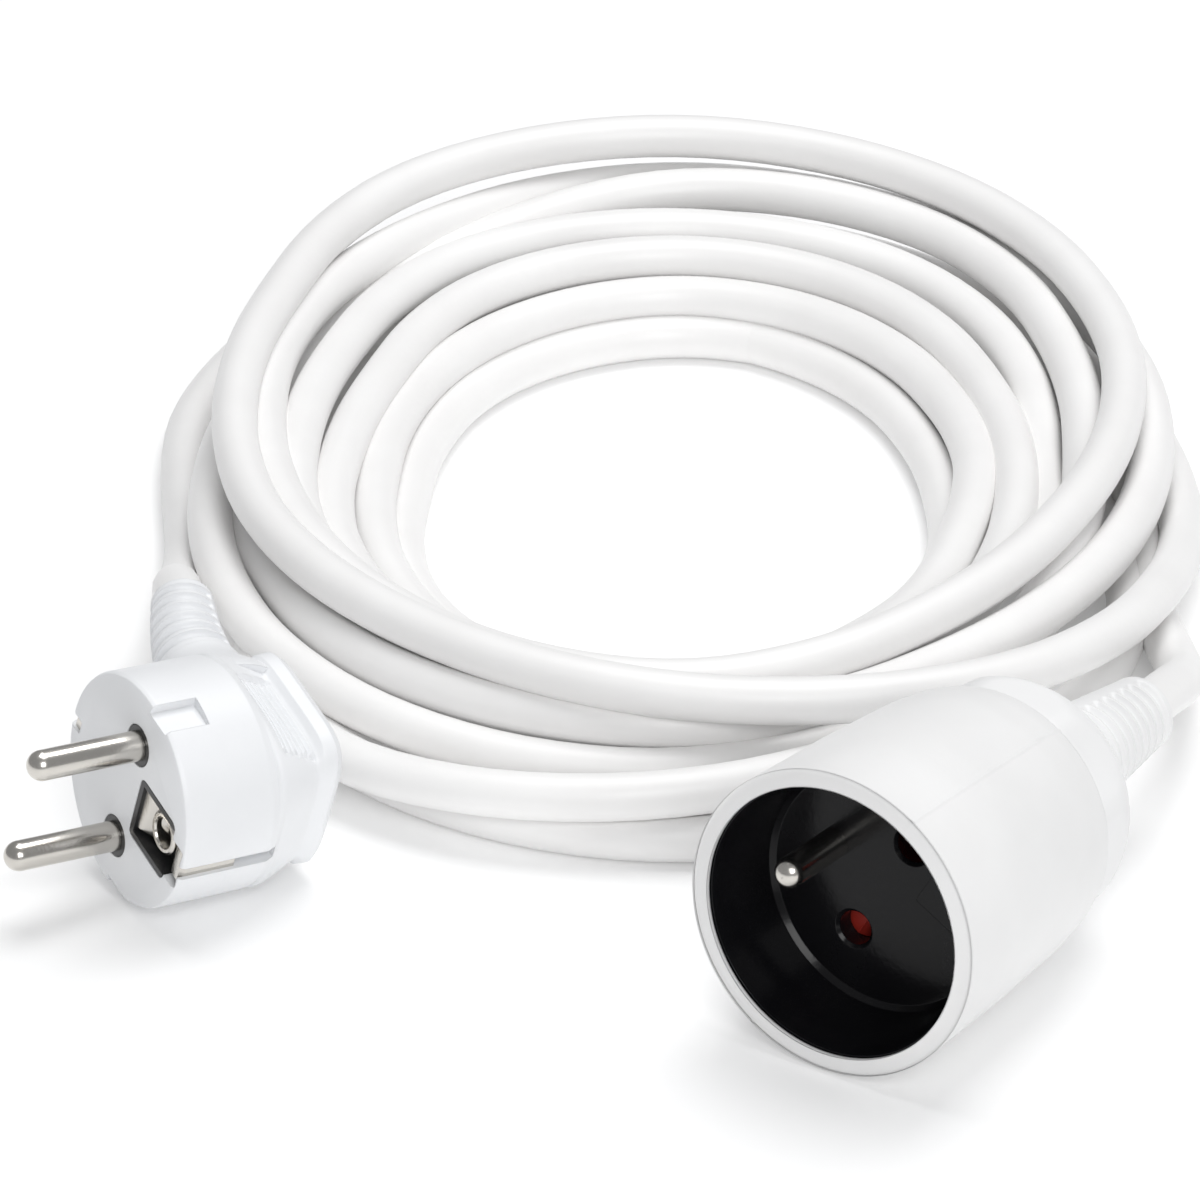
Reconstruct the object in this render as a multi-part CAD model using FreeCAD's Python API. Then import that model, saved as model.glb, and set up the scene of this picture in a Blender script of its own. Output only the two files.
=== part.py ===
import FreeCAD, Part
import math
import os

# Extension cord: an angled two-pin-and-earth plug, five metres of round cord in a loose
# coil, and a trailing socket with a rotating safety shutter. Millimetres, +Z up.
# Origin: on the floor, below the middle of the trailing socket.

V = FreeCAD.Vector

# ---- cord ----
CORD_R = 3.85
CORE_R = 1.3
CORE_SPREAD = 1.95
ARC_REACH = 0.45
COIL_CENTRE = V(-37.6, 143.9, 0)
# inner radius, outer radius and height of the coil at eight compass points, from +X round
COIL_INNER = (39, 45, 59, 46, 43, 56, 62, 50)
COIL_OUTER = (87, 96, 114, 103, 84, 102, 121, 103)
COIL_HEIGHT = (24, 26, 29, 27, 25, 25, 25, 24)
COIL_SECTIONS = 32
COIL_EDGE = 6.0

# ---- pins and holes shared by the plug and the socket ----
PIN_R = 2.4
PIN_ROOT_R = 2.1
PIN_PITCH = 19.0
EARTH_OFFSET = 10.0

# ---- trailing socket, local +Z out of its mouth, origin on the recess floor ----
SOCKET_AT = V(-9.6, -20.15, 23.9)
SOCKET_YAW = -124.0
SOCKET_TILT = 3.6
SOCKET_ROLL = 61.0
RECESS_DEPTH = 15.0
MOUTH_R = 21.4
FLOOR_R = 19.6
SHELL_R = 24.3
SHELL_BORE = 22.2
FLOOR_PLATE = 3.5
SKIRT_R = 19.2
SKIRT_END = -24.0
HOLE_R = 2.75
COLLAR_R = 19.9
BOOT_START = -50.0
BOOT_END = -76.0
BOOT_R = 8.8
BOOT_TIP_R = 6.0
BOOT_RINGS = 9

# ---- shutter ----
SHUTTER_TOP = -4.1
SHUTTER_THICK = 2.6
SHUTTER_LOBE_R = 3.4
SHUTTER_HUB_R = 4.2
PIVOT_R = 2.0
PIVOT_GAP = 0.06

# ---- plug, local +Z along the pins, origin at the middle of its face ----
PLUG_AT = V(-124.1, 16.5, 19.8)
PLUG_YAW = -148.0
PLUG_TILT = 5.0
PLUG_ROLL = 72.5
PLUG_FACE_R = 18.5
PLUG_FRONT_LENGTH = 18.0
PLUG_PIN_LENGTH = 19.0
LEAD_DEPTH = 24.5
EARTH_TUBE_R = 2.95
PLUG_BOOT_TILT = 18.0
PLUG_BOOT_LENGTH = 19.0
PLUG_BOOT_R = 6.6
PLUG_BOOT_TIP_R = 5.0
PLUG_BOOT_RINGS = 6


def local_frame(at, yaw, tilt, roll):
    """Placement whose +Z points along yaw and tilt, its +Y rolled away from upright."""
    yaw, tilt, roll = (math.radians(a) for a in (yaw, tilt, roll))
    ahead = V(math.cos(tilt) * math.cos(yaw), math.cos(tilt) * math.sin(yaw), math.sin(tilt))
    upright = V(0, 0, 1) - ahead * math.sin(tilt)
    upright.normalize()
    side = ahead.cross(upright)
    y_axis = upright * math.cos(roll) + side * math.sin(roll)
    x_axis = y_axis.cross(ahead)
    return FreeCAD.Placement(at, FreeCAD.Rotation(x_axis, y_axis, ahead, "ZXY"))


SOCKET_FRAME = local_frame(SOCKET_AT, SOCKET_YAW, SOCKET_TILT, SOCKET_ROLL)
PLUG_FRAME = local_frame(PLUG_AT, PLUG_YAW, PLUG_TILT, PLUG_ROLL)

# Where the cord leaves the plug and its direction there, in the plug's own frame.
PLUG_BOOT_LEAN = math.radians(PLUG_BOOT_TILT)
PLUG_BOOT_BASE = V(0, 17.0, -LEAD_DEPTH)
PLUG_LEAD_AXIS = V(0, math.cos(PLUG_BOOT_LEAN), -math.sin(PLUG_BOOT_LEAN))

# Routes of the cord where it isn't coiled, from each strain relief into the coil.
SOCKET_LEAD = [
    SOCKET_FRAME.multVec(V(0, 0, BOOT_END)),
    V(37.6, 55.0, 16.0),
    V(40.8, 65.0, 12.2),
    V(41.8, 76.0, 7.8),
    V(41.4, 87.5, 4.8),
    V(39.6, 99.0, 3.9),
]
PLUG_LEAD = [
    PLUG_FRAME.multVec(PLUG_BOOT_BASE + PLUG_LEAD_AXIS * PLUG_BOOT_LENGTH),
    V(-119.6, 71.0, 24.6),
    V(-122.2, 81.0, 19.0),
    V(-123.8, 92.0, 12.6),
    V(-124.0, 103.5, 7.4),
    V(-122.4, 115.0, 4.6),
    V(-119.6, 126.4, 3.9),
]


# ---- basic shapes ----
def cyl(radius, z_low, z_high, x=0.0, y=0.0):
    return Part.makeCylinder(radius, z_high - z_low, V(x, y, z_low))


def ring(outer, inner, z_low, z_high, x=0.0, y=0.0):
    return cyl(outer, z_low, z_high, x, y).cut(cyl(inner, z_low - 1, z_high + 1, x, y))


def box(x, y, z):
    """Box from (low, high) pairs."""
    return Part.makeBox(x[1] - x[0], y[1] - y[0], z[1] - z[0], V(x[0], y[0], z[0]))


def revolve(profile):
    """Solid of revolution about Z from (radius, z) points."""
    points = [V(r, 0, z) for r, z in profile]
    face = Part.Face(Part.makePolygon(points + [points[0]]))
    return face.revolve(V(0, 0, 0), V(0, 0, 1), 360)


def arc_path(points):
    """Straight runs joined by tangent arcs, and the arcs' radii."""
    edges = []
    radii = []
    last = points[0]
    for before, corner, after in zip(points, points[1:], points[2:]):
        run_in = corner - before
        run_out = after - corner
        turn = run_in.getAngle(run_out)
        reach = ARC_REACH * min(run_in.Length, run_out.Length)
        radii.append(reach / math.tan(turn / 2))
        back = V(run_in).normalize()
        ahead = V(run_out).normalize()
        start = corner - back * reach
        end = corner + ahead * reach
        towards = (ahead - back).normalize()
        middle = corner + towards * radii[-1] * (1 / math.cos(turn / 2) - 1)
        edges.append(Part.LineSegment(last, start).toShape())
        edges.append(Part.Arc(start, middle, end).toShape())
        last = end
    edges.append(Part.LineSegment(last, points[-1]).toShape())
    return Part.Wire(edges), radii


def bent_rod(points, radius):
    """Round rod along straight runs joined by tangent arcs."""
    section = Part.Wire(Part.makeCircle(radius, points[0], points[1] - points[0]))
    return arc_path(points)[0].makePipeShell([section], True, False, 2)


def octagon(half_x, half_y, corner, z):
    """Closed wire of a rectangle with cut corners."""
    xs = (half_x - corner, half_x, half_x, half_x - corner)
    ys = (-half_y, -half_y + corner, half_y - corner, half_y)
    right = [V(x, y, z) for x, y in zip(xs, ys)]
    left = [V(-p.x, p.y, z) for p in reversed(right)]
    return Part.makePolygon(right + left + [right[0]])


def placed(shape, frame):
    moved = shape.copy()
    moved.Placement = frame.multiply(moved.Placement)
    return moved


def pin(length_out, length_in, x=0.0, y=0.0):
    """Round pin with a domed tip and a thinner root below the face."""
    shoulder = V(PIN_R, 0, length_out - PIN_R)
    tip = V(0, 0, length_out)
    side = PIN_R * math.sqrt(0.5)
    dome = Part.Arc(shoulder, V(side, 0, length_out - PIN_R + side), tip).toShape()
    root = [V(0, 0, -length_in), V(PIN_ROOT_R, 0, -length_in), V(PIN_ROOT_R, 0, 0), V(PIN_R, 0, 0)]
    sides = Part.makePolygon([tip] + root + [shoulder])
    body = Part.Face(Part.Wire(sides.Edges + [dome])).revolve(V(0, 0, 0), V(0, 0, 1), 360)
    body.translate(V(x, y, 0))
    return body


# ---- trailing socket ----
def socket_shell():
    """White sleeve: flat mouth rim, slight taper, rounded in at the back."""
    outside = [(SHELL_R - 0.9, RECESS_DEPTH), (SHELL_R, RECESS_DEPTH - 0.9), (23.6, -6.0), (22.6, -22.0)]
    back = [(21.8, -27.5), (20.7, -31.0), (19.5, -31.0), (19.4, -26.0), (20.4, -22.0)]
    inside = [(20.4, -6.0), (SHELL_BORE, -4.5), (SHELL_BORE, RECESS_DEPTH - 1.1)]
    mouth = [(MOUTH_R + 0.15, RECESS_DEPTH - 1.1), (MOUTH_R + 0.15, RECESS_DEPTH)]
    return revolve(outside + back + inside + mouth)


def socket_insert():
    """Black cup: tapered recess, floor plate with holes, skirt round the contact chamber."""
    wall = SHELL_BORE - 0.1
    outside = [(wall, RECESS_DEPTH - 1.2), (wall, -4.4), (SKIRT_R, -5.9), (SKIRT_R, SKIRT_END)]
    inside = [(SKIRT_R - 1.6, SKIRT_END), (SKIRT_R - 1.6, -FLOOR_PLATE), (0, -FLOOR_PLATE), (0, 0)]
    recess = [(FLOOR_R - 0.8, 0), (FLOOR_R, 0.8), (MOUTH_R - 0.1, RECESS_DEPTH - 1.2)]
    cup = revolve(outside + inside + recess)
    boss = cyl(PIVOT_R, SHUTTER_TOP - SHUTTER_THICK - 4.4, -FLOOR_PLATE)
    pad = box((3.0, 15.2), (-14.2, -5.2), (-0.5, 0.45))
    pad = pad.common(cyl(FLOOR_R - 1.6, -1, 1))
    cup = cup.fuse([boss, pad])
    for x in (-PIN_PITCH / 2, PIN_PITCH / 2):
        lead_in = Part.makeCone(HOLE_R, HOLE_R + 0.5, 0.5, V(x, 0, -0.5))
        cup = cup.cut(cyl(HOLE_R, -5, 1, x, 0)).cut(lead_in)
    return cup.cut(cyl(PIN_ROOT_R, -5, 1, 0, EARTH_OFFSET)).removeSplitter()


def socket_back_plate():
    """Black plate that closes the contact chamber and carries the contacts."""
    plate = cyl(SKIRT_R - 1.7, -23.8, -20.8)
    for x in (-PIN_PITCH / 2, PIN_PITCH / 2):
        plate = plate.cut(cyl(3.0, -25, -20, x, 0))
    return plate.cut(cyl(PIN_ROOT_R, -25, -20, 0, EARTH_OFFSET))


def socket_contact(x):
    """Brass tube contact, slit along one side, with a crimp barrel at its tail."""
    tube = ring(3.0, 2.3, -23.8, -8.2, x, 0)
    slit = box((x - 0.4, x + 0.4), (0, 4), (-17, -8))
    bottom = cyl(3.0, -24.6, -23.8, x, 0)
    barrel = ring(1.9, CORE_R, -29.5, -24.6, x, 0)
    return tube.cut(slit).fuse([bottom, barrel]).removeSplitter()


def socket_earth_pin():
    shank = pin(RECESS_DEPTH - 0.4, -SKIRT_END + 0.6, 0, EARTH_OFFSET)
    tail = ring(1.9, CORE_R, -29.5, SKIRT_END - 0.6, 0, EARTH_OFFSET)
    return shank.fuse(tail).removeSplitter()


def socket_cores():
    """The cord's three cores, from their crimps to where the sheath is cut back."""
    ends = {"live": V(-PIN_PITCH / 2, 0, 0), "neutral": V(PIN_PITCH / 2, 0, 0), "earth": V(0, EARTH_OFFSET, 0)}
    cores = {}
    for index, (name, at) in enumerate(ends.items()):
        angle = math.radians((180, 0, 90)[index])
        low = V(CORE_SPREAD * math.cos(angle), CORE_SPREAD * math.sin(angle), BOOT_START - 6)
        top = V(at.x, at.y, -24.6)
        shoulder = V(at.x, at.y, -33.0)
        waist = V(low.x, low.y, BOOT_START + 4)
        cores["socket_core_" + name] = bent_rod([top, shoulder, waist, low], CORE_R)
    return cores


def boot(start, end, base_r, tip_r, rings):
    """Tapered strain relief with cut rings, along Z from start down to end."""
    length = start - end
    pitch = length / (rings + 0.6)
    profile = [(0, start), (base_r, start)]
    for i in range(rings):
        top = start - pitch * (i + 0.45)
        radius = base_r + (tip_r - base_r) * (i + 0.5) / rings
        profile += [(radius + 0.25, top), (radius - 0.85, top - 0.15 * pitch)]
        profile += [(radius - 0.85, top - 0.45 * pitch), (radius + 0.15, top - 0.6 * pitch)]
    profile += [(tip_r, end + 0.4), (tip_r - 0.6, end), (0, end)]
    return revolve(profile)


def tail_seats():
    """Space in the overmould for the tails of the two contacts and the earth pin."""
    seats = []
    for x, y, radius in ((-PIN_PITCH / 2, 0, 3.0), (PIN_PITCH / 2, 0, 3.0), (0, EARTH_OFFSET, PIN_ROOT_R)):
        seats.append(cyl(radius, -24.6, SKIRT_END + 1, x, y))
        seats.append(cyl(1.9, -29.5, -24.3, x, y))
    return seats


def socket_overmould(cores):
    """White body moulded round the cores: plug-in spigot, grip collar, shoulder and boot."""
    spigot = [(0, SKIRT_END - 0.1), (SKIRT_R, SKIRT_END - 0.1), (SKIRT_R, -31.3)]
    collar = [(COLLAR_R, -31.3), (COLLAR_R, -37.5), (18.6, -41.0), (14.8, -46.0), (10.2, -49.0)]
    shape = revolve(spigot + collar + [(BOOT_R, BOOT_START), (0, BOOT_START)])
    for i in range(8):
        flat = box((COLLAR_R - 0.8, COLLAR_R + 2), (-9, 9), (-48, -33))
        flat.rotate(V(0, 0, 0), V(0, 0, 1), 45 * i + 22.5)
        shape = shape.cut(flat)
    shape = shape.fuse(boot(BOOT_START, BOOT_END, BOOT_R, BOOT_TIP_R, BOOT_RINGS))
    sheath = cyl(CORD_R, BOOT_END - 1, BOOT_START - 6)
    return shape.cut([sheath] + tail_seats() + cores).removeSplitter()


def shutter():
    """Red rotor with two ramped lobes that cover the holes at rest."""
    low = SHUTTER_TOP - SHUTTER_THICK
    rotor = cyl(SHUTTER_HUB_R, low, SHUTTER_TOP)
    for side in (-1, 1):
        x = side * PIN_PITCH / 2
        lobe = cyl(SHUTTER_LOBE_R, low, SHUTTER_TOP, x, 0)
        arm = box((min(0, x), max(0, x)), (-2.0, 2.0), (low, SHUTTER_TOP))
        ramp = box((x - 6, x + 6), (-6, 0), (0, 4))
        ramp.rotate(V(x, 0, 0), V(1, 0, 0), 24)
        if side > 0:
            ramp.rotate(V(x, 0, 0), V(0, 0, 1), 180)
        ramp.translate(V(0, 0, SHUTTER_TOP - 0.2))
        rotor = rotor.fuse([lobe, arm]).cut(ramp)
    return rotor.cut(cyl(PIVOT_R + PIVOT_GAP, low - 1, SHUTTER_TOP + 1)).removeSplitter()


def shutter_spring():
    """Torsion spring round the pivot, as a short close-wound sleeve of its outer size."""
    top = SHUTTER_TOP - SHUTTER_THICK - 0.5
    turns = [Part.makeTorus(2.75, 0.32, V(0, 0, top - 0.32 - 0.62 * i)) for i in range(4)]
    return turns[0].fuse(turns[1:])


# ---- plug ----
def plug_bridge():
    """Black pin carrier: plate behind the face, with collars round the pins and a window."""
    plate = octagon(15.5, 14.5, 5.0, -9.0)
    body = Part.Face(plate).extrude(V(0, 0, 5.2))
    collars = [cyl(3.3, -4, -0.05, x, 0) for x in (-PIN_PITCH / 2, PIN_PITCH / 2)]
    window = box((-5.6, 5.6), (-14.2, -3.2), (-4, -0.05))
    window = window.cut(box((-4.6, 4.6), (-15.3, -4.2), (-3.2, 1)))
    body = body.fuse(collars + [window])
    for x in (-PIN_PITCH / 2, PIN_PITCH / 2):
        body = body.cut(cyl(PIN_ROOT_R, -12, 1, x, 0))
    return body.cut(cyl(EARTH_TUBE_R, -12, 1, 0, -EARTH_OFFSET)).removeSplitter()


def plug_pin(x):
    shank = pin(PLUG_PIN_LENGTH, 11.0, x, 0)
    barrel = ring(1.9, CORE_R, -16.0, -11.0, x, 0)
    return shank.fuse(barrel).removeSplitter()


def plug_earth_strip():
    """Nickel strip across the face side: the rolled contact's plate and two side clips."""
    crossbar = box((-3.6, 3.6), (-17.4, 17.4), (-10.4, -9.4))
    arms = [box((-3.0, 3.0), (y, y + 0.7), (-10.4, -1.2)) for y in (-17.4, 16.7)]
    rise = box((-4.2, 4.2), (-14.6, -5.2), (-3.1, -2.5))
    web = box((-4.2, 4.2), (-5.2, -4.5), (-3.1, -2.5))
    clip = box((-4.2, 4.2), (-16.9, -14.6), (-3.1, -2.5))
    strip = crossbar.fuse(arms + [rise, web, clip])
    return strip.cut(cyl(EARTH_TUBE_R, -12, 1, 0, -EARTH_OFFSET)).removeSplitter()


def plug_earth_tube():
    """Rolled tube that takes the socket's earth pin, with a flared lip and a crimp tail."""
    tube = ring(EARTH_TUBE_R, 2.45, -18.0, -1.6, 0, -EARTH_OFFSET)
    lip = revolve([(2.45, -1.9), (3.35, -1.9), (3.5, -1.5), (3.1, -1.2), (2.6, -1.25), (2.45, -1.6)])
    lip.translate(V(0, -EARTH_OFFSET, 0))
    slit = box((-0.4, 0.4), (-EARTH_OFFSET - 4, -EARTH_OFFSET), (-15, -4))
    bottom = cyl(EARTH_TUBE_R, -18.8, -18.0, 0, -EARTH_OFFSET)
    return tube.cut(slit).fuse([lip, bottom]).removeSplitter()


def plug_side_channels():
    """Clip grooves at the earth sides and key notches at the pin sides of the front."""
    cuts = []
    for side in (-1, 1):
        cuts.append(box((-3.4, 3.4), (min(side * 16.6, side * 20), max(side * 16.6, side * 20)), (-17.0, 1)))
        cuts.append(box((min(side * 16.9, side * 20), max(side * 16.9, side * 20)), (-2.7, 2.7), (-8.5, 1)))
    return cuts


def plug_lead_boot():
    """Tapered, ringed strain relief, leaning back from the plug's side."""
    piece = boot(0, -PLUG_BOOT_LENGTH, PLUG_BOOT_R, PLUG_BOOT_TIP_R, PLUG_BOOT_RINGS)
    piece.rotate(V(0, 0, 0), V(1, 0, 0), 90 - PLUG_BOOT_TILT)
    piece.translate(PLUG_BOOT_BASE)
    return piece


def plug_moulding(inner_pieces):
    """White body: round front, waisted grip, flared back lip, side neck and boot."""
    front = revolve([(0, 0), (17.7, 0), (PLUG_FACE_R, -0.8), (PLUG_FACE_R, -16.5), (17.4, -PLUG_FRONT_LENGTH),
                     (0, -PLUG_FRONT_LENGTH)])
    levels = [(16.4, 15.6, 6.2, -13.0), (15.6, 14.6, 5.6, -19.0), (12.4, 13.4, 4.4, -25.5)]
    grip = Part.makeLoft([octagon(*level) for level in levels], True, True)
    lip_levels = [(12.4, 13.4, 4.4, -25.5), (14.2, 14.2, 5.2, -29.0), (14.2, 14.2, 5.2, -31.0),
                  (12.6, 12.6, 4.6, -33.5)]
    lip = Part.makeLoft([octagon(*level) for level in lip_levels], True, True)
    neck = Part.makeCone(10.5, 7.4, 14.0, V(0, 5.5, -LEAD_DEPTH + 1.0), PLUG_LEAD_AXIS)
    front = front.cut(plug_side_channels())
    shape = front.fuse([grip, lip, neck, plug_lead_boot()])
    for i in range(6):
        x = 15.9 - 0.62 * i
        groove = box((x, x + 4), (-8.5, 8.5), (-19.3 - 1.25 * i, -18.6 - 1.25 * i))
        shape = shape.cut(groove)
    start = PLUG_BOOT_BASE + PLUG_LEAD_AXIS * 2
    sheath = Part.makeCylinder(CORD_R, PLUG_BOOT_LENGTH + 2, start, PLUG_LEAD_AXIS)
    face_window = box((-5.7, 5.7), (-14.3, -3.1), (-4, 1))
    edge_slot = box((-4.3, 4.3), (-17.6, -14.2), (-3.3, 1))
    collars = [cyl(3.4, -4, 1, x, 0) for x in (-PIN_PITCH / 2, PIN_PITCH / 2)]
    collars.append(cyl(EARTH_TUBE_R, -18.8, 1, 0, -EARTH_OFFSET))
    return shape.cut([sheath, face_window, edge_slot] + collars + inner_pieces).removeSplitter()


def plug_cores():
    """The cord's three cores, from their crimps to where the sheath is cut back."""
    starts = {"live": V(PIN_PITCH / 2, 0, -11.0), "neutral": V(-PIN_PITCH / 2, 0, -11.0),
              "earth": V(0, -EARTH_OFFSET, -18.8)}
    axis = PLUG_LEAD_AXIS
    cut_back = PLUG_BOOT_BASE + axis * 2
    across = V(1, 0, 0)
    over = axis.cross(across)
    cores = {}
    for index, (name, start) in enumerate(starts.items()):
        angle = math.radians((0, 180, 90)[index])
        end = cut_back + (across * math.cos(angle) + over * math.sin(angle)) * CORE_SPREAD
        knee = V(start.x, start.y, -22.5)
        waist = end - axis * 9
        cores["plug_core_" + name] = bent_rod([start, knee, waist, end], CORE_R)
    return cores


# ---- cord ----
def cord_tube(points, name):
    """Uncoiled stretch of the cord; prints its length, bend radii and volume check."""
    path, radii = arc_path(points)
    tube = bent_rod(points, CORD_R)
    expected = math.pi * CORD_R ** 2 * path.Length
    print(name, "length", round(path.Length, 1), "radii", [round(r) for r in radii],
          "volume ratio", round(tube.Volume / expected, 4))
    return tube


def around(values, turn):
    """Value at a fraction of a full turn, smoothly between the compass points."""
    place = turn * len(values)
    low = int(place) % len(values)
    high = (low + 1) % len(values)
    mix = (1 - math.cos(math.pi * (place - int(place)))) / 2
    return values[low] * (1 - mix) + values[high] * mix


def cord_coil():
    """Closed ring of the outer shape of the cord's turns."""
    sections = []
    for i in range(COIL_SECTIONS):
        turn = i / COIL_SECTIONS
        angle = 2 * math.pi * turn
        inner, outer, height = (around(v, turn) for v in (COIL_INNER, COIL_OUTER, COIL_HEIGHT))
        outline = [(inner, 0), (outer, 0), (outer, height - 3 * COIL_EDGE), (outer - 2 * COIL_EDGE, height),
                   (inner + 3 * COIL_EDGE, height), (inner, 8)]
        points = [COIL_CENTRE + V(r * math.cos(angle), r * math.sin(angle), z) for r, z in outline]
        sections.append(Part.makePolygon(points + [points[0]]))
    return Part.makeLoft(sections, True, True, True)


def build():
    nodes = {}
    nodes["socket_shell"] = socket_shell()
    nodes["socket_insert"] = socket_insert()
    nodes["socket_back_plate"] = socket_back_plate()
    nodes["socket_contact_live"] = socket_contact(-PIN_PITCH / 2)
    nodes["socket_contact_neutral"] = socket_contact(PIN_PITCH / 2)
    nodes["socket_earth_pin"] = socket_earth_pin()
    nodes["shutter"] = shutter()
    nodes["shutter_spring"] = shutter_spring()
    cores = socket_cores()
    nodes["socket_overmould"] = socket_overmould(list(cores.values()))
    nodes.update(cores)
    nodes = {name: placed(shape, SOCKET_FRAME) for name, shape in nodes.items()}

    plug = {}
    plug["plug_pin_live"] = plug_pin(PIN_PITCH / 2)
    plug["plug_pin_neutral"] = plug_pin(-PIN_PITCH / 2)
    plug["plug_earth_strip"] = plug_earth_strip()
    plug["plug_earth_tube"] = plug_earth_tube()
    plug["plug_bridge"] = plug_bridge()
    plug.update(plug_cores())
    plug["plug_moulding"] = plug_moulding(list(plug.values()))
    nodes.update({name: placed(shape, PLUG_FRAME) for name, shape in plug.items()})

    nodes["cord_socket_lead"] = cord_tube(SOCKET_LEAD, "cord_socket_lead")
    nodes["cord_plug_lead"] = cord_tube(PLUG_LEAD, "cord_plug_lead")
    nodes["cord_coil"] = cord_coil()
    return nodes


os.makedirs("parts", exist_ok=True)
for node_name, node_shape in build().items():
    node_shape.exportStep("parts/" + node_name + ".step")
    bounds = node_shape.BoundBox
    print(node_name, "valid", node_shape.isValid(), "solids", len(node_shape.Solids),
          "volume", round(node_shape.Volume),
          "box", [round(v, 1) for v in (bounds.XMin, bounds.XMax, bounds.YMin, bounds.YMax, bounds.ZMin, bounds.ZMax)])
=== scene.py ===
import bpy
import bmesh
import math
from mathutils import Matrix, Vector


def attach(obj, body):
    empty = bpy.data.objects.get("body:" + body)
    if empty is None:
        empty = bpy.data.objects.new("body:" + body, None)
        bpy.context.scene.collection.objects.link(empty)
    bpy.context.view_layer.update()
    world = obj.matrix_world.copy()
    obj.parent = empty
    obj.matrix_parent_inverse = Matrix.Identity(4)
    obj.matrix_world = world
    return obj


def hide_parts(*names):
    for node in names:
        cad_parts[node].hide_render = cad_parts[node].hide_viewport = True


# Extension cord: angled plug, five metres of cord in a loose coil, trailing socket.
# Lengths are named in millimetres as in the CAD source and turned into metres by MM.

MM = 0.001
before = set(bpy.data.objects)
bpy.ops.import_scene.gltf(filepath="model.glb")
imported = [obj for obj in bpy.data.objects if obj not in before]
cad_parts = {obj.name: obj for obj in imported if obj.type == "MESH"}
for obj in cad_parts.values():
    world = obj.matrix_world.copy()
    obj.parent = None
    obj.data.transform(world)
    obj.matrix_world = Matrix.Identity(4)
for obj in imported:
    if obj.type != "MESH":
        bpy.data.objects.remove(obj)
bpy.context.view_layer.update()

# ---- where things are, as in the CAD source ----
COIL_CENTRE = (-37.6, 143.9)
CORD_R = 3.85
SOCKET_AT, SOCKET_YAW, SOCKET_TILT, SOCKET_ROLL = (-9.6, -20.15, 23.9), -124.0, 3.6, 61.0
PLUG_AT, PLUG_YAW, PLUG_TILT, PLUG_ROLL = (-124.1, 16.5, 19.8), -148.0, 5.0, 72.5
SHELL_R, MOUTH_R, RECESS_DEPTH = 24.3, 21.4, 15.0
COLLAR_R, BOOT_START, BOOT_END, BOOT_R, BOOT_TIP_R, BOOT_RINGS = 19.9, -50.0, -76.0, 8.8, 6.0, 9
PIN_PITCH, EARTH_OFFSET, EARTH_TUBE_R = 19.0, 10.0, 2.95
PLUG_BOOT_R, PLUG_BOOT_TIP_R, PLUG_BOOT_RINGS = 6.6, 5.0, 6

# ---- which way round the moulded details sit, in each part's own axes ----
SEAM_ANGLES = (math.radians(-3), math.radians(177))
SOCKET_RIBS = (math.radians(45), math.radians(225))
PLUG_RIBS = (math.radians(60), math.radians(240))


def local_frame(at, yaw, tilt, roll):
    """Matrix from millimetres in a part's own axes to the row frame."""
    yaw, tilt, roll = (math.radians(a) for a in (yaw, tilt, roll))
    ahead = Vector((math.cos(tilt) * math.cos(yaw), math.cos(tilt) * math.sin(yaw), math.sin(tilt)))
    upright = (Vector((0, 0, 1)) - ahead * math.sin(tilt)).normalized()
    side = ahead.cross(upright)
    y_axis = upright * math.cos(roll) + side * math.sin(roll)
    x_axis = y_axis.cross(ahead)
    turn = Matrix((x_axis, y_axis, ahead)).transposed().to_4x4()
    return Matrix.Scale(MM, 4) @ Matrix.Translation(at) @ turn


SOCKET_FRAME = local_frame(SOCKET_AT, SOCKET_YAW, SOCKET_TILT, SOCKET_ROLL)
PLUG_FRAME = local_frame(PLUG_AT, PLUG_YAW, PLUG_TILT, PLUG_ROLL)

# ---- the cord's route: the two leads point by point, and the coil turn by turn ----
SOCKET_EXIT = SOCKET_FRAME @ Vector((0, 0, BOOT_END)) / MM
PLUG_BOOT_LINE = [(-109.5, 33.0, 21.5), (-114.2, 45.8, 24.0), (-116.4, 54.5, 25.6), (-117.6, 63.8, 27.0)]
PLUG_EXIT = PLUG_BOOT_LINE[-1]
SOCKET_LEAD = [SOCKET_EXIT, (37.6, 55.0, 16.0), (40.8, 65.0, 12.2), (41.8, 76.0, 7.8), (41.4, 87.5, 4.8),
               (39.6, 99.0, 3.9)]
PLUG_LEAD = [PLUG_EXIT, (-118.8, 73.5, 25.0), (-119.8, 83.5, 19.4), (-120.4, 93.5, 13.0),
             (-120.7, 103.5, 7.9), (-120.5, 114.0, 4.9), (-119.9, 125.4, 3.9)]
# Each turn's radius from the coil's centre, and its height, every 30 degrees from +X round.
# The radii are rounded measurements, not worked out from driving sizes; the heights are chosen.
TURN_RADII = (
    (75, 78, 84, 94, 86, 76, 70, 84, 105, 115, 101, 84),
    (67.5, 68, 74, 79, 78, 68, 62, 80, 112, 113.5, 90, 69),
    (59.5, 68, 80.5, 83, 79, 66.5, 64, 71, 80, 90, 74, 60.5),
    (55.5, 58.5, 68.5, 74, 69, 58, 57, 65.5, 76, 82, 66, 52),
    (49, 51.5, 60.5, 68, 62, 54, 51, 57.5, 68, 76, 64, 55),
    (51.5, 53, 59, 64, 58, 49, 46, 53, 64, 68, 57.5, 49.5),
    (44, 46.5, 56, 67, 74, 78, 77.5, 86.5, 98.5, 101, 85, 72),
    (67, 75, 91.5, 95, 84, 76, 74, 78, 91, 96, 84, 78),
    (78.5, 85.5, 96, 104, 89.5, 76, 70, 73, 82, 89.5, 78, 71),
    (73, 83, 97, 102.5, 95.5, 78.5, 74.5, 79.5, 87, 98, 101, 89),
    (83, 86, 97, 108, 103, 92, 86),
)
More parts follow.
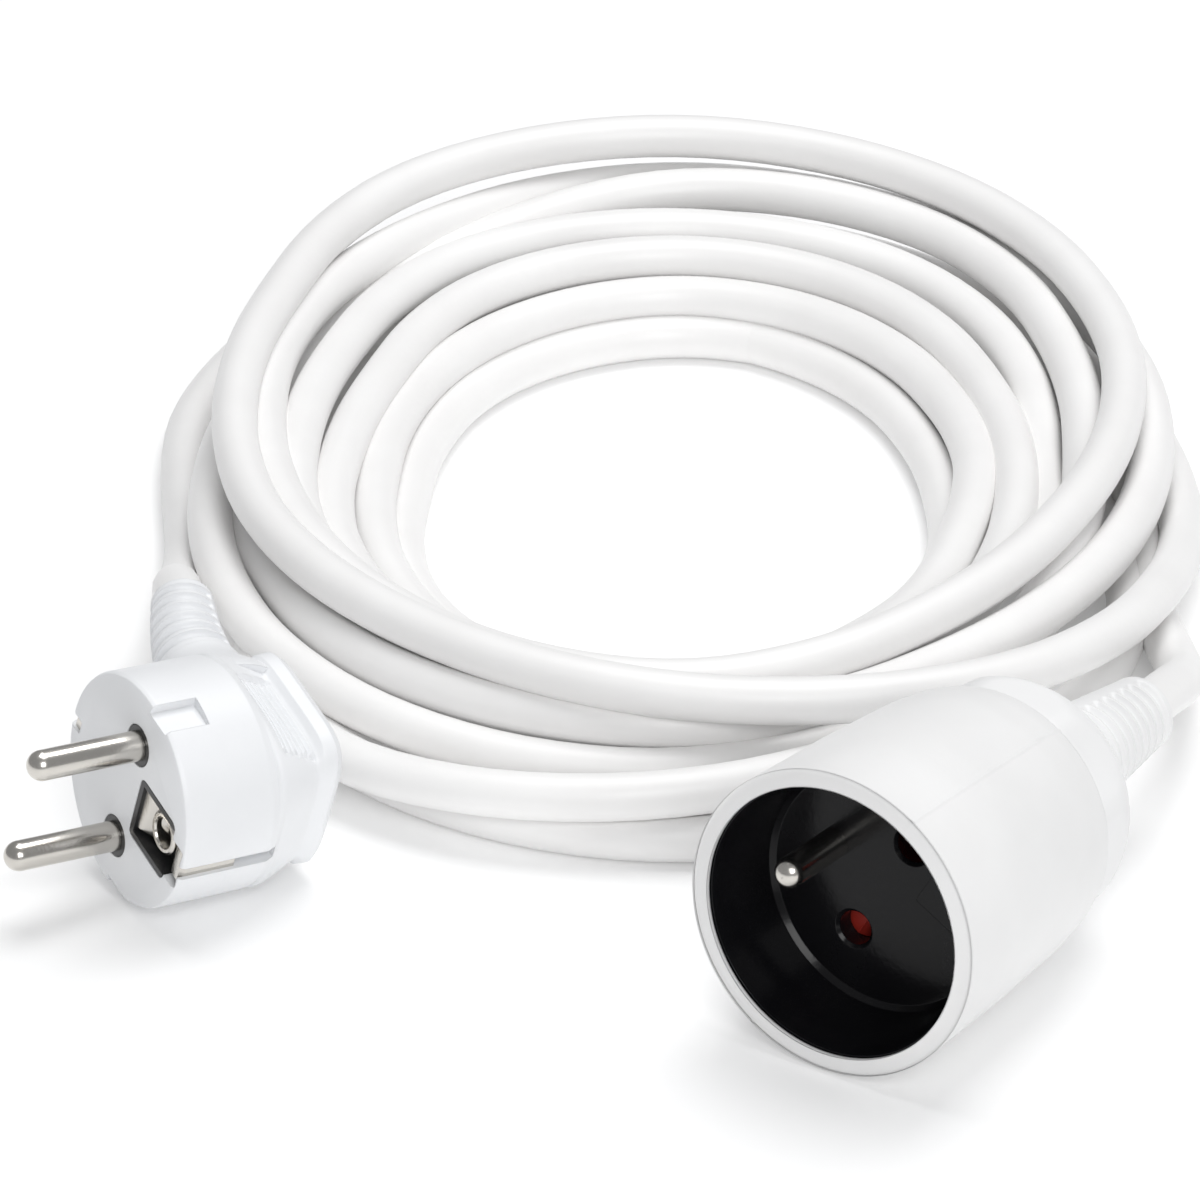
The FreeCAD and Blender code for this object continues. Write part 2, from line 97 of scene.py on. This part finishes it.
TURN_HEIGHTS = (
    (3.9, 3.9, 3.9, 3.9, 3.9, 3.9, 3.9, 3.9, 3.9, 3.9, 3.9, 3.9),
    (3.9, 3.9, 3.9, 3.9, 3.9, 3.9, 3.9, 4.5, 8.5, 11.5, 9, 8),
    (9, 10.5, 13, 15.5, 16, 16.5, 16.5, 15, 12.5, 10.5, 10.5, 10.5),
    (11.5, 12, 13.5, 14.5, 14.5, 13.5, 13, 12, 11, 10.5, 10.5, 10.5),
    (10.5, 10, 10, 9.5, 9.5, 9, 9, 7.5, 5.5, 3.9, 3.9, 3.9),
    (3.9, 3.9, 3.9, 3.9, 3.9, 3.9, 3.9, 3.9, 3.9, 3.9, 3.9, 3.9),
    (3.9, 3.9, 3.9, 3.9, 6, 9, 12, 11, 9.5, 8, 9, 12),
    (14, 15, 16.5, 18, 14, 10, 8, 11, 13.5, 13.5, 13, 12.5),
    (12.5, 14, 14.5, 15, 17.5, 19, 19.5, 18.5, 17.5, 17.5, 18.5, 19.5),
    (20, 20.5, 22.5, 25, 25, 24.5, 24.5, 22, 20.5, 20, 18, 11),
    (4, 3.9, 3.9, 3.9, 3.9, 3.9, 3.9),
)
TURN_STEP = 30
STEPS_BETWEEN = 2
# The spline runs a little inside its control points.
SPLINE_SHRINK = 1.009


def smooth_between(a, b, c, d, mix):
    """Value between b and c on a smooth line through a, b, c and d."""
    slope_in, slope_out = (c - a) / 2, (d - b) / 2
    fall = 2 * mix ** 3 - 3 * mix ** 2
    rise = mix ** 3 - mix ** 2
    return (1 + fall) * b - fall * c + (rise - mix ** 2 + mix) * slope_in + rise * slope_out


def coil_points():
    """Control points of all the turns, in millimetres, from the socket's lead to the plug's."""
    radii = [89.0] + [r for turn in TURN_RADII for r in turn] + [86.0]
    heights = [3.9] + [h for turn in TURN_HEIGHTS for h in turn] + [3.9]
    points = [(39.0, 106.0, 3.9), (38.6, 114.5, 3.9), (38.2, 124.5, 3.9)]
    for i in range(1, len(radii) - 2):
        for step in range(STEPS_BETWEEN):
            mix = step / STEPS_BETWEEN
            angle = math.radians(TURN_STEP * (i - 1 + mix))
            radius = smooth_between(*radii[i - 1:i + 3], mix) * SPLINE_SHRINK
            height = max(3.9, smooth_between(*heights[i - 1:i + 3], mix))
            x = COIL_CENTRE[0] + radius * math.cos(angle)
            y = COIL_CENTRE[1] + radius * math.sin(angle)
            points.append((x, y, height))
    return points


# ---- materials ----
def new_material(name, base, roughness, metallic=0.0):
    material = bpy.data.materials.new(name)
    material.use_nodes = True
    shader = material.node_tree.nodes["Principled BSDF"]
    shader.inputs["Base Color"].default_value = (*base, 1)
    shader.inputs["Roughness"].default_value = roughness
    shader.inputs["Metallic"].default_value = metallic
    return material, shader


def add_noise(material, scale, detail=4.0, stretch=(1, 1, 1)):
    nodes, links = material.node_tree.nodes, material.node_tree.links
    place = nodes.new("ShaderNodeTexCoord")
    mapping = nodes.new("ShaderNodeMapping")
    mapping.inputs["Scale"].default_value = stretch
    noise = nodes.new("ShaderNodeTexNoise")
    noise.inputs["Scale"].default_value = scale
    noise.inputs["Detail"].default_value = detail
    links.new(place.outputs["Object"], mapping.inputs["Vector"])
    links.new(mapping.outputs["Vector"], noise.inputs["Vector"])
    return noise


def vary_colour(material, shader, noise, dark, light):
    nodes, links = material.node_tree.nodes, material.node_tree.links
    ramp = nodes.new("ShaderNodeValToRGB")
    ramp.color_ramp.elements[0].position = 0.3
    ramp.color_ramp.elements[0].color = (*dark, 1)
    ramp.color_ramp.elements[1].position = 0.7
    ramp.color_ramp.elements[1].color = (*light, 1)
    links.new(noise.outputs["Fac"], ramp.inputs["Fac"])
    links.new(ramp.outputs["Color"], shader.inputs["Base Color"])


def vary_roughness(material, shader, noise, low, high):
    nodes, links = material.node_tree.nodes, material.node_tree.links
    span = nodes.new("ShaderNodeMapRange")
    span.inputs["To Min"].default_value = low
    span.inputs["To Max"].default_value = high
    links.new(noise.outputs["Fac"], span.inputs["Value"])
    links.new(span.outputs["Result"], shader.inputs["Roughness"])


def add_bump(material, shader, noise, strength, distance, edge=0.0):
    nodes, links = material.node_tree.nodes, material.node_tree.links
    bump = nodes.new("ShaderNodeBump")
    bump.inputs["Strength"].default_value = strength
    bump.inputs["Distance"].default_value = distance
    links.new(noise.outputs["Fac"], bump.inputs["Height"])
    if edge:
        bevel = nodes.new("ShaderNodeBevel")
        bevel.samples = 6
        bevel.inputs["Radius"].default_value = edge
        links.new(bevel.outputs["Normal"], bump.inputs["Normal"])
    links.new(bump.outputs["Normal"], shader.inputs["Normal"])


def surface(name, dark, light, rough, grain=900.0, bump=0.15, metallic=0.0, edge=0.0, stretch=(1, 1, 1)):
    """Procedural material: broad colour and gloss variation, fine grain, softened edges."""
    material, shader = new_material(name, light, rough[1], metallic)
    broad = add_noise(material, 45.0, 5.0)
    vary_colour(material, shader, broad, dark, light)
    vary_roughness(material, shader, broad, *rough)
    add_bump(material, shader, add_noise(material, grain, 6.0, stretch), bump, 0.0002, edge)
    return material


CORD_SKIN = surface("cord_pvc", (0.86, 0.852, 0.845), (0.905, 0.90, 0.893), (0.34, 0.44), 700.0, 0.10)
SHELL_WHITE = surface("shell_white", (0.80, 0.798, 0.795), (0.85, 0.848, 0.845), (0.36, 0.46),
                      1500.0, 0.10, edge=0.0003)
MOULD_WHITE = surface("overmould_white", (0.82, 0.82, 0.82), (0.87, 0.87, 0.87), (0.38, 0.50),
                      1300.0, 0.12, edge=0.0003)
PLUG_WHITE = surface("plug_white", (0.80, 0.81, 0.825), (0.85, 0.86, 0.875), (0.34, 0.46), 1300.0,
                     0.12, edge=0.0003)
GLOSS_BLACK = surface("gloss_black", (0.004, 0.004, 0.005), (0.008, 0.008, 0.009), (0.12, 0.22),
                      1100.0, 0.10, edge=0.0002)
BRIDGE_BLACK = surface("bridge_black", (0.014, 0.014, 0.015), (0.024, 0.024, 0.025), (0.30, 0.42),
                       1200.0, 0.2, edge=0.0002)
SHUTTER_RED = surface("shutter_red", (0.42, 0.03, 0.02), (0.56, 0.045, 0.03), (0.30, 0.42), 900.0,
                      0.12, edge=0.0002)
NICKEL = surface("nickel", (0.60, 0.575, 0.535), (0.72, 0.695, 0.65), (0.16, 0.30), 2200.0, 0.10,
                 1.0, 0.0001, (1, 1, 0.2))
BRASS = surface("brass", (0.50, 0.36, 0.15), (0.66, 0.50, 0.24), (0.22, 0.36), 1800.0, 0.12, 1.0, 0.0001)
SPRING_STEEL = surface("spring_steel", (0.42, 0.43, 0.44), (0.55, 0.56, 0.57), (0.2, 0.34), 2500.0, 0.1, 1.0)
GLOSS_BLACK.node_tree.nodes["Principled BSDF"].inputs["Specular IOR Level"].default_value = 0.2
CORE_BROWN = surface("core_brown", (0.10, 0.04, 0.02), (0.15, 0.06, 0.03), (0.4, 0.55))
CORE_BLUE = surface("core_blue", (0.02, 0.07, 0.30), (0.03, 0.10, 0.38), (0.4, 0.55))
CORE_EARTH = surface("core_green_yellow", (0.06, 0.30, 0.05), (0.70, 0.62, 0.05), (0.4, 0.55))

NODE_MATERIALS = {
    "socket_insert": GLOSS_BLACK, "socket_back_plate": BRIDGE_BLACK, "socket_contact_live": BRASS,
    "socket_contact_neutral": BRASS, "socket_earth_pin": NICKEL, "shutter": SHUTTER_RED,
    "shutter_spring": SPRING_STEEL, "socket_shell": SHELL_WHITE, "socket_overmould": MOULD_WHITE,
    "plug_pin_live": NICKEL, "plug_pin_neutral": NICKEL, "plug_earth_strip": NICKEL,
    "plug_earth_tube": NICKEL,
    "plug_bridge": BRIDGE_BLACK, "plug_moulding": PLUG_WHITE,
    "socket_core_live": CORE_BROWN, "socket_core_neutral": CORE_BLUE, "socket_core_earth": CORE_EARTH,
    "plug_core_live": CORE_BROWN, "plug_core_neutral": CORE_BLUE, "plug_core_earth": CORE_EARTH,
}


def dress_cad_nodes():
    for node, material in NODE_MATERIALS.items():
        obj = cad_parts[node]
        obj.data.materials.clear()
        obj.data.materials.append(material)


# ---- shapes ----
def mesh_piece(name, points, faces, material, matrix, body="cord_set", flat_over=35):
    """Object from points in a part's own millimetres, smooth except over sharp edges."""
    mesh = bpy.data.meshes.new(name)
    mesh.from_pydata([matrix @ Vector(p) for p in points], [], faces)
    mesh.update()
    work = bmesh.new()
    work.from_mesh(mesh)
    bmesh.ops.recalc_face_normals(work, faces=work.faces)
    work.to_mesh(mesh)
    work.free()
    mesh.materials.append(material)
    obj = bpy.data.objects.new(name, mesh)
    bpy.context.collection.objects.link(obj)
    mesh.shade_smooth()
    mesh.set_sharp_from_angle(angle=math.radians(flat_over))
    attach(obj, body)
    return obj


def skin(name, rows, material, matrix, close=False):
    """Closed surface over rows of points that each run once round; ends capped or joined."""
    count = len(rows[0])
    points = [p for row in rows for p in row]
    faces = []
    bands = len(rows) if close else len(rows) - 1
    for i in range(bands):
        this, following = i * count, ((i + 1) % len(rows)) * count
        for j in range(count):
            beside = (j + 1) % count
            faces.append((this + j, this + beside, following + beside, following + j))
    if not close:
        faces.append(tuple(range(count)))
        faces.append(tuple(range(len(points) - count, len(points))))
    return mesh_piece(name, points, faces, material, matrix)


def rounded(profile, radius, steps=5):
    """The (radius, z) outline with its corners rounded."""
    out = []
    count = len(profile)
    for i in range(count):
        before, corner, after = (Vector(profile[(i + k) % count]) for k in (-1, 0, 1))
        reach = min(radius, (corner - before).length * 0.45, (after - corner).length * 0.45)
        start = corner + (before - corner).normalized() * reach
        end = corner + (after - corner).normalized() * reach
        for step in range(steps + 1):
            mix = step / steps
            out.append(tuple(start * (1 - mix) ** 2 + corner * 2 * mix * (1 - mix) + end * mix ** 2))
    return out


def seam(angle, height=0.16, width=0.012):
    """Raised mould parting line at two sides."""
    lift = 0
    for at in SEAM_ANGLES:
        off = math.atan2(math.sin(angle - at), math.cos(angle - at))
        lift += height * math.exp(-(off / width) ** 2)
    return lift


def angles(coarse):
    """Angles once round, closer together beside the parting lines."""
    found = [2 * math.pi * i / coarse for i in range(coarse)]
    for at in SEAM_ANGLES:
        found += [at + 0.004 * k for k in range(-8, 9)]
    return sorted(a % (2 * math.pi) for a in found)


def socket_shell():
    """White sleeve with a flat rim, soft edges and a faint parting line."""
    outside = [(SHELL_R, RECESS_DEPTH), (23.6, -6.0), (22.6, -22.0), (21.8, -27.5), (20.7, -31.0)]
    inside = [(19.5, -31.0), (19.4, -26.0), (20.4, -22.0), (20.4, -6.0), (22.2, -4.5),
              (22.2, RECESS_DEPTH - 1.1)]
    rim = [(MOUTH_R + 0.15, RECESS_DEPTH - 1.1), (MOUTH_R + 0.15, RECESS_DEPTH)]
    outline = rounded(outside, 0.9) + rounded(inside, 0.3, 2) + rounded(rim, 0.25, 2)
    rows = []
    for radius, z in outline:
        proud = radius > 20.0 and z < RECESS_DEPTH - 0.6 and (radius > 22.5 or z < -26.5)
        rows.append([((radius + (seam(a) if proud else 0)) * math.cos(a),
                      (radius + (seam(a) if proud else 0)) * math.sin(a), z) for a in angles(160)])
    piece = skin("sleeve_of_socket", rows, SHELL_WHITE, SOCKET_FRAME, close=True)
    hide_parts("socket_shell")
    return piece


def facet_radius(radius, angle, depth):
    """Radius of the collar where flats are cut across its eight corners."""
    nearest = round((angle - math.pi / 8) / (math.pi / 4)) * math.pi / 4 + math.pi / 8
    flat = (COLLAR_R - depth) / math.cos(angle - nearest)
    return min(radius, flat)


def ringed(z, start, end, rings):
    """How deep the ring grooves are at z, from 0 on a ring to 1 in a groove."""
    pitch = (start - end) / (rings + 0.6)
    place = (start - z) / pitch - 0.35
    if place < 0 or place > rings:
        return 0.0
    inner = place - int(place)
    return max(0.0, math.sin(math.pi * min(1.0, max(0.0, (inner - 0.1) / 0.7)))) ** 0.6


def spine(angle, at, half_width):
    """0 on the straight rib along the strain relief, 1 beside it."""
    off = abs(math.atan2(math.sin(angle - at), math.cos(angle - at)))
    return min(1.0, max(0.0, (off - half_width) / 0.12))


def boot_rows(start, end, base_r, tip_r, rings, ribs, count, depth=1.25):
    """Rows round a tapered strain relief with ring grooves that stop at its ribs."""
    rows = []
    steps = rings * 14
    for i in range(steps + 1):
        z = start + (end - start) * i / steps
        radius = base_r + (tip_r - base_r) * i / steps
        groove = ringed(z, start, end, rings) * depth
        row = []
        for j in range(count):
            angle = 2 * math.pi * j / count
            cut = groove * min(spine(angle, at, 0.26) for at in ribs)
            row.append(((radius - cut) * math.cos(angle), (radius - cut) * math.sin(angle), z))
        rows.append(row)
    return rows


def flat_row(radius, z, count):
    return [(radius * math.cos(2 * math.pi * j / count), radius * math.sin(2 * math.pi * j / count), z)
            for j in range(count)]


def socket_overmould():
    """Grip collar with flats, cone and ringed strain relief, in one moulding."""
    count = 144
    rows = [flat_row(r, z, count) for r, z in ((CORD_R, -28.0), (19.0, -28.0), (19.2, -28.6))]
    collar = rounded([(19.2, -28.6), (COLLAR_R, -31.3), (COLLAR_R, -37.5), (18.6, -41.0), (14.8, -46.0),
                      (10.2, -49.0), (BOOT_R, BOOT_START)], 2.2, 6)[7:-7]
    for radius, z in collar:
        depth = 1.1 if z < -31.3 else 0.0
        row = []
        for j in range(count):
            angle = 2 * math.pi * j / count
            near = facet_radius(radius, angle, depth) if z > -44 else radius
            row.append((near * math.cos(angle), near * math.sin(angle), z))
        rows.append(row)
    rows += boot_rows(BOOT_START, BOOT_END + 0.4, BOOT_R, BOOT_TIP_R, BOOT_RINGS, SOCKET_RIBS, count)
    lip = ((BOOT_TIP_R - 0.15, BOOT_END + 0.15), (BOOT_TIP_R - 0.5, BOOT_END),
           (CORD_R + 0.1, BOOT_END), (CORD_R + 0.1, BOOT_END + 2))
    rows += [flat_row(r, z, count) for r, z in lip]
    piece = skin("moulding_of_socket", rows, MOULD_WHITE, SOCKET_FRAME)
    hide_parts("socket_overmould")
    return piece


# ---- the plug ----
# z, half width along x, half width along y, squareness of the section
PLUG_LEVELS = ((0.0, 17.6, 17.6, 2.0), (-0.25, 18.2, 18.2, 2.0), (-0.9, 18.5, 18.5, 2.0),
               (-15.5, 18.4, 18.4, 2.0), (-16.8, 17.6, 17.8, 2.1), (-18.3, 15.6, 16.6, 3.2),
               (-24.8, 12.2, 13.7, 4.6), (-25.3, 12.3, 13.5, 4.8), (-26.3, 13.3, 13.4, 5.0),
               (-28.4, 13.5, 13.4, 5.0), (-29.6, 12.7, 12.6, 5.0), (-30.0, 11.4, 11.4, 5.0))
GRIP_TOP, GRIP_END, GRIP_MIDDLE, GRIP_HALF, GRIP_DEPTH, GRIP_PITCH = -18.6, -25.0, -3.0, 8.6, 0.9, 1.05


def step_up(value, low, high):
    """0 below low, 1 above high, smooth between."""
    mix = min(1.0, max(0.0, (value - low) / (high - low)))
    return mix * mix * (3 - 2 * mix)


def grip_relief(y, z):
    """Depth of the ribbed grip panel in the plug's two pin sides."""
    along = step_up(z, GRIP_END, GRIP_END + 0.4) * step_up(-z, -GRIP_TOP, -GRIP_TOP + 0.4)
    off = abs(y - GRIP_MIDDLE)
    inside = along * step_up(GRIP_HALF - off, 0, 0.5)
    rib = math.sin(2 * math.pi * (z - GRIP_TOP) / GRIP_PITCH) * 0.5 + 0.5
    short = step_up(GRIP_HALF - 0.8 - off, 0, 0.5)
    return inside * (1 - 0.8 * rib * short) * GRIP_DEPTH


def plug_rows(count=180, step=0.2):
    rows = []
    for upper, lower in zip(PLUG_LEVELS, PLUG_LEVELS[1:]):
        parts = max(1, round((upper[0] - lower[0]) / step))
        for i in range(parts + (lower is PLUG_LEVELS[-1])):
            z, half_x, half_y, power = (a + (b - a) * i / parts for a, b in zip(upper, lower))
            row = []
            for j in range(count):
                c, s = math.cos(2 * math.pi * j / count), math.sin(2 * math.pi * j / count)
                reach = (abs(c / half_x) ** power + abs(s / half_y) ** power) ** (-1 / power)
                x, y = reach * c, reach * s
                if abs(x) > 0.6 * half_x:
                    x -= math.copysign(grip_relief(y, z), x)
                row.append((x, y, z))
            rows.append(row)
    return rows


def block(low, high, edge=0.0, segments=4):
    """Box with rounded edges along z, as a bare mesh in millimetres."""
    work = bmesh.new()
    size = [b - a for a, b in zip(low, high)]
    middle = [(a + b) / 2 for a, b in zip(low, high)]
    bmesh.ops.create_cube(work, size=1.0, matrix=Matrix.Translation(middle) @ Matrix.Diagonal((*size, 1)))
    if edge:
        upright = [e for e in work.edges if abs(e.verts[0].co.z - e.verts[1].co.z) > 0.9 * size[2]]
        bmesh.ops.bevel(work, geom=upright, offset=edge, segments=segments, profile=0.5, affect="EDGES")
    return work


def rod(radius, low, high, x=0.0, y=0.0):
    work = bmesh.new()
    bmesh.ops.create_cone(work, cap_ends=True, segments=48, radius1=radius, radius2=radius, depth=high - low,
                          matrix=Matrix.Translation((x, y, (low + high) / 2)))
    return work


def cut(piece, tools, matrix):
    """Takes the tools' shapes out of the piece."""
    for work in tools:
        work.transform(matrix)
        mesh = bpy.data.meshes.new("tool")
        work.to_mesh(mesh)
        work.free()
        tool = bpy.data.objects.new("tool", mesh)
        bpy.context.collection.objects.link(tool)
        step = piece.modifiers.new("cut", "BOOLEAN")
        step.operation = "DIFFERENCE"
        step.solver = "EXACT"
        step.object = tool
        result = bpy.data.meshes.new_from_object(piece.evaluated_get(bpy.context.evaluated_depsgraph_get()))
        piece.modifiers.clear()
        piece.data = result
        bpy.data.objects.remove(tool)
    piece.data.set_sharp_from_angle(angle=math.radians(35))


def plug_body():
    """Round front, ribbed grip panels, flared back lip, with its window, notches and slots."""
    piece = skin("body_of_plug", plug_rows(), PLUG_WHITE, PLUG_FRAME)
    tools = [block((-5.8, -14.5, -4.0), (5.8, -3.0, 1.0), 1.4),
             rod(EARTH_TUBE_R + 0.15, -18.0, 1.0, 0, -EARTH_OFFSET)]
    for side in (-1, 1):
        tools.append(rod(3.4, -4.0, 1.0, side * PIN_PITCH / 2, 0))
        near, far = sorted((side * 15.4, side * 20))
        tools.append(block((-2.0, near, -17.0), (0.3, far, 1.0)))
        near, far = sorted((side * 16.9, side * 20))
        tools.append(block((near, -5.9, -7.6), (far, -0.9, 1.0)))
    tools.append(block((-4.4, -17.7, -3.4), (3.2, -14.0, 1.0), 0.6))
    cut(piece, tools, PLUG_FRAME)
    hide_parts("plug_moulding")
    return piece


def line_through(points, steps):
    """Points on a smooth line through the given ones."""
    points = [Vector(p) for p in points]
    padded = [2 * points[0] - points[1]] + points + [2 * points[-1] - points[-2]]
    out = []
    for i in range(1, len(padded) - 2):
        for step in range(steps):
            out.append(smooth_between(*padded[i - 1:i + 3], step / steps))
    return out + [points[-1]]


def plug_boot(count=96):
    """Neck and ringed strain relief, curving from the plug's side to the cord."""
    line = line_through(PLUG_BOOT_LINE, 60)
    across = PLUG_FRAME.to_3x3() @ Vector((1, 0, 0))
    neck_end = 60
    rows = []
    for i, at in enumerate(line):
        ahead = (line[min(i + 1, len(line) - 1)] - line[max(i - 1, 0)]).normalized()
        up = ahead.cross(across).normalized()
        side = up.cross(ahead)
        if i < neck_end:
            radius, groove = 12.5 + (7.0 - 12.5) * step_up(i, 0, neck_end) ** 0.8, 0.0
        else:
            done = (i - neck_end) / (len(line) - 1 - neck_end)
            radius = PLUG_BOOT_R + (PLUG_BOOT_TIP_R - PLUG_BOOT_R) * done
            groove = ringed(-done, 0, -1, PLUG_BOOT_RINGS) * 1.1
        row = []
        for j in range(count):
            angle = 2 * math.pi * j / count
            here = radius - groove * min(spine(angle, at_angle, 0.22) for at_angle in PLUG_RIBS)
            row.append(at + side * here * math.cos(angle) + up * here * math.sin(angle))
        rows.append(row)
    piece = skin("boot_of_plug", rows, PLUG_WHITE, Matrix.Scale(MM, 4))
    return piece


def bent_plate(name, line, half_width, thick):
    """Strip of metal along (y, z) points, centred on x, in the plug's axes."""
    rows = []
    for i, (y, z) in enumerate(line):
        before, after = line[max(i - 1, 0)], line[min(i + 1, len(line) - 1)]
        along = Vector((after[0] - before[0], after[1] - before[1])).normalized()
        out = Vector((-along.y, along.x)) * thick / 2
        rows.append([(-half_width, y - out.x, z - out.y), (half_width, y - out.x, z - out.y),
                     (half_width, y + out.x, z + out.y), (-half_width, y + out.x, z + out.y)])
    return skin(name, rows, NICKEL, PLUG_FRAME)


def plug_earth_strip():
    """Folded nickel strip in the window, and the clips that run back in the side slots."""
    inner = bent_plate("earth_strip_inner", [(-3.6, -0.9), (-4.6, -1.0), (-7.6, -2.7), (-8.4, -3.6)],
                       3.9, 0.5)
    outer = bent_plate("earth_strip_outer", [(-12.2, -3.6), (-12.8, -2.7), (-15.4, -0.9), (-17.3, -0.7),
                                             (-17.5, -1.4), (-17.5, -10.0)], 3.0, 0.5)
    far = bent_plate("earth_strip_far", [(15.9, -0.7), (17.3, -0.7), (17.5, -1.4), (17.5, -10.0)], 3.0, 0.5)
    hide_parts("plug_earth_strip")
    return [inner, outer, far]


# ---- the cord ----
def cord():
    curve = bpy.data.curves.new("cord_run", "CURVE")
    curve.dimensions = "3D"
    spline = curve.splines.new("NURBS")
    points = SOCKET_LEAD + coil_points() + list(reversed(PLUG_LEAD))
    spline.points.add(len(points) - 1)
    for place, point in zip(spline.points, points):
        place.co = (*(Vector(point) * MM), 1)
    spline.order_u = 3
    spline.use_endpoint_u = True
    spline.resolution_u = 5
    curve.bevel_depth = CORD_R * MM
    curve.bevel_resolution = 6
    curve.use_fill_caps = True
    curve.materials.append(CORD_SKIN)
    obj = bpy.data.objects.new("cord_run", curve)
    bpy.context.collection.objects.link(obj)
    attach(obj, "cord_set")
    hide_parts("cord_socket_lead", "cord_coil", "cord_plug_lead")
    return obj


# ---- the studio ----
LAMPS = (
    ("overhead", (0.10, 0.40, 1.35), (-0.05, 0.1, 0.0), 1.0, 12.5),
    ("front", (0.30, -1.3, 0.95), (-0.05, 0.05, 0.0), 0.8, 11.0),
)


def studio():
    floor_mesh = bpy.data.meshes.new("floor")
    floor_mesh.from_pydata([(-4, -3, 0), (4, -3, 0), (4, 5, 0), (-4, 5, 0)], [], [(0, 1, 2, 3)])
    material, shader = new_material("pale_floor", (0.93, 0.93, 0.93), 0.6)
    shader.inputs["Emission Color"].default_value = (1, 1, 1, 1)
    shader.inputs["Emission Strength"].default_value = 0.12
    floor_mesh.materials.append(material)
    floor = bpy.data.objects.new("floor", floor_mesh)
    bpy.context.collection.objects.link(floor)
    for name, place, aim, size, power in LAMPS:
        lamp = bpy.data.lights.new(name, "AREA")
        lamp.size = size
        lamp.energy = power
        obj = bpy.data.objects.new(name, lamp)
        obj.location = place
        obj.rotation_euler = (Vector(aim) - Vector(place)).to_track_quat("-Z", "Y").to_euler()
        bpy.context.collection.objects.link(obj)
    world = bpy.data.worlds.new("studio")
    world.use_nodes = True
    back = world.node_tree.nodes["Background"]
    back.inputs["Color"].default_value = (0.97, 0.98, 1.0, 1)
    back.inputs["Strength"].default_value = 0.34
    bpy.context.scene.world = world
    bpy.context.scene.view_settings.view_transform = "Standard"


def camera():
    lens = bpy.data.cameras.new("camera")
    lens.lens = 231.0
    lens.sensor_width = 36.0
    obj = bpy.data.objects.new("camera", lens)
    place, aim = Vector((-0.0516, -1.0099, 0.5986)), Vector((-0.0516, 0.1159, 0.0))
    obj.location = place
    obj.rotation_euler = (aim - place).to_track_quat("-Z", "Y").to_euler()
    bpy.context.collection.objects.link(obj)
    bpy.context.scene.camera = obj


dress_cad_nodes()
socket_shell()
socket_overmould()
run = cord()
replaced = ("plug_moulding", "plug_earth_strip")
plug_nodes = [node for node in NODE_MATERIALS if node.startswith("plug_") and node not in replaced]
on_plug = [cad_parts[node] for node in plug_nodes]
on_plug += [plug_body(), plug_boot()] + plug_earth_strip()
studio()
camera()
